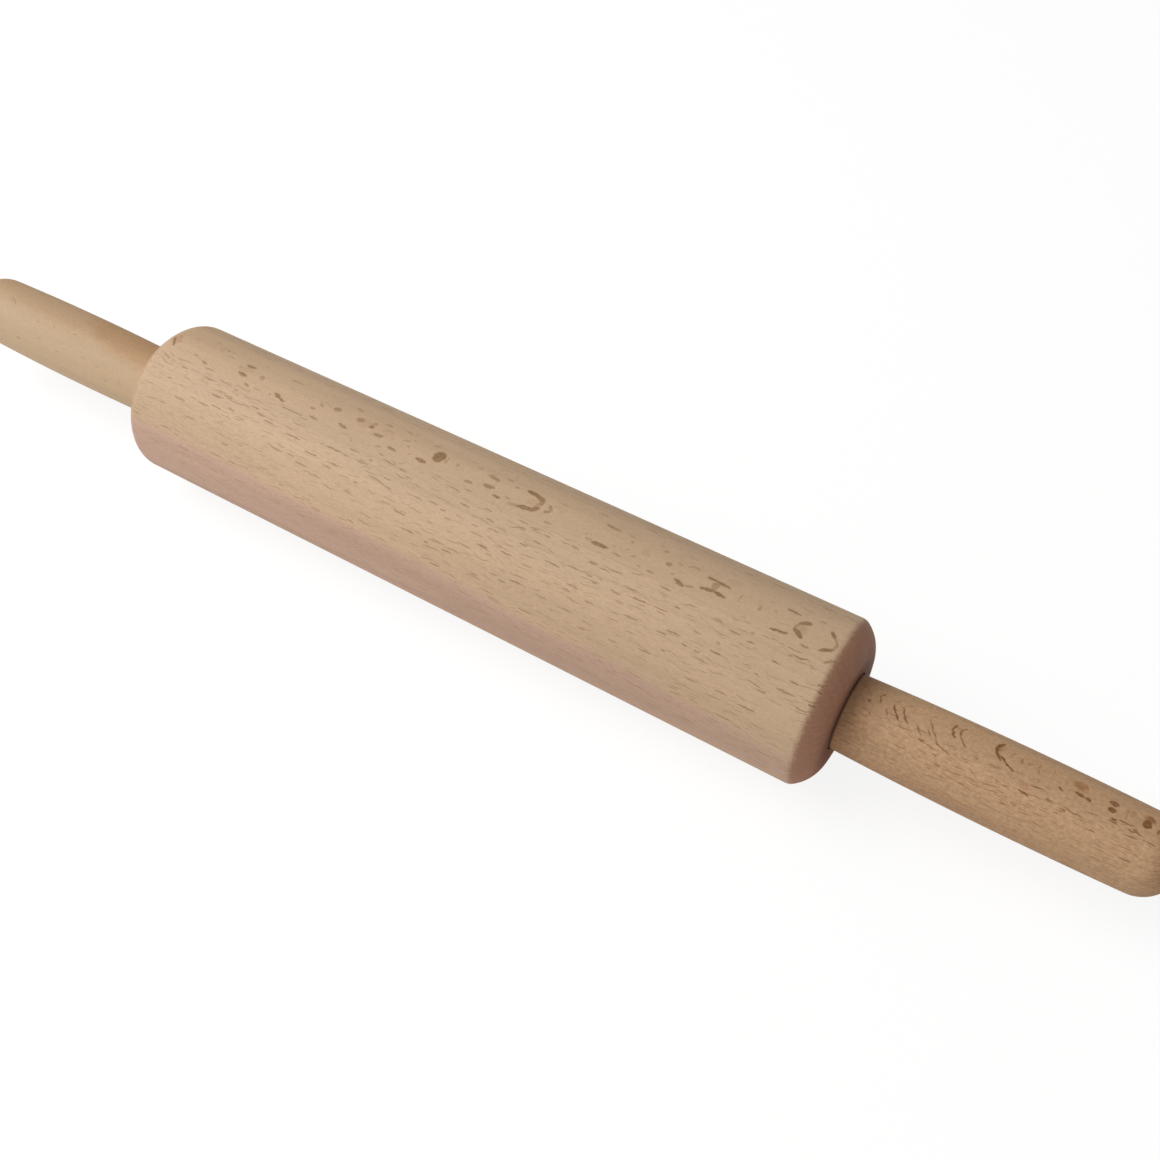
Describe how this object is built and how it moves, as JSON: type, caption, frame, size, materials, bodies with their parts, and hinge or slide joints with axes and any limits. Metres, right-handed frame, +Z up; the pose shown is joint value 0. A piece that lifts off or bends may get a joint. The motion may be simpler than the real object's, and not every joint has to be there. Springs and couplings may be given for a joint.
{
  "type": "rolling pin",
  "caption": "Beech rolling pin whose cylindrical barrel turns on a steel rod between two round-tipped handles.",
  "frame": {"origin": "middle of the barrel, on the axis it turns about", "axes": "+X along the axis towards the right handle, +Y the way the pin rolls away from the cook, +Z up"},
  "size_m": [0.4364, 0.051, 0.051],
  "materials": {
    "barrel_beech": "sanded bare beech",
    "handle_beech": "sanded bare beech",
    "rod_steel": "drawn bright steel",
    "bush_nylon": "moulded natural nylon",
    "washer_nylon": "moulded dark nylon"
  },
  "bodies": {
    "handles": {"axle_rod": "rod_steel", "left_handle": "handle_beech", "right_handle": "handle_beech", "left_washer": "washer_nylon", "right_washer": "washer_nylon"},
    "barrel": {"barrel": "barrel_beech", "left_bush": "bush_nylon", "right_bush": "bush_nylon"}
  },
  "joints": [
    {"name": "barrel_spin", "type": "hinge", "parent": "handles", "child": "barrel", "pos_m": [0, 0, 0], "axis": [1, 0, 0], "continuous": true}
  ]
}
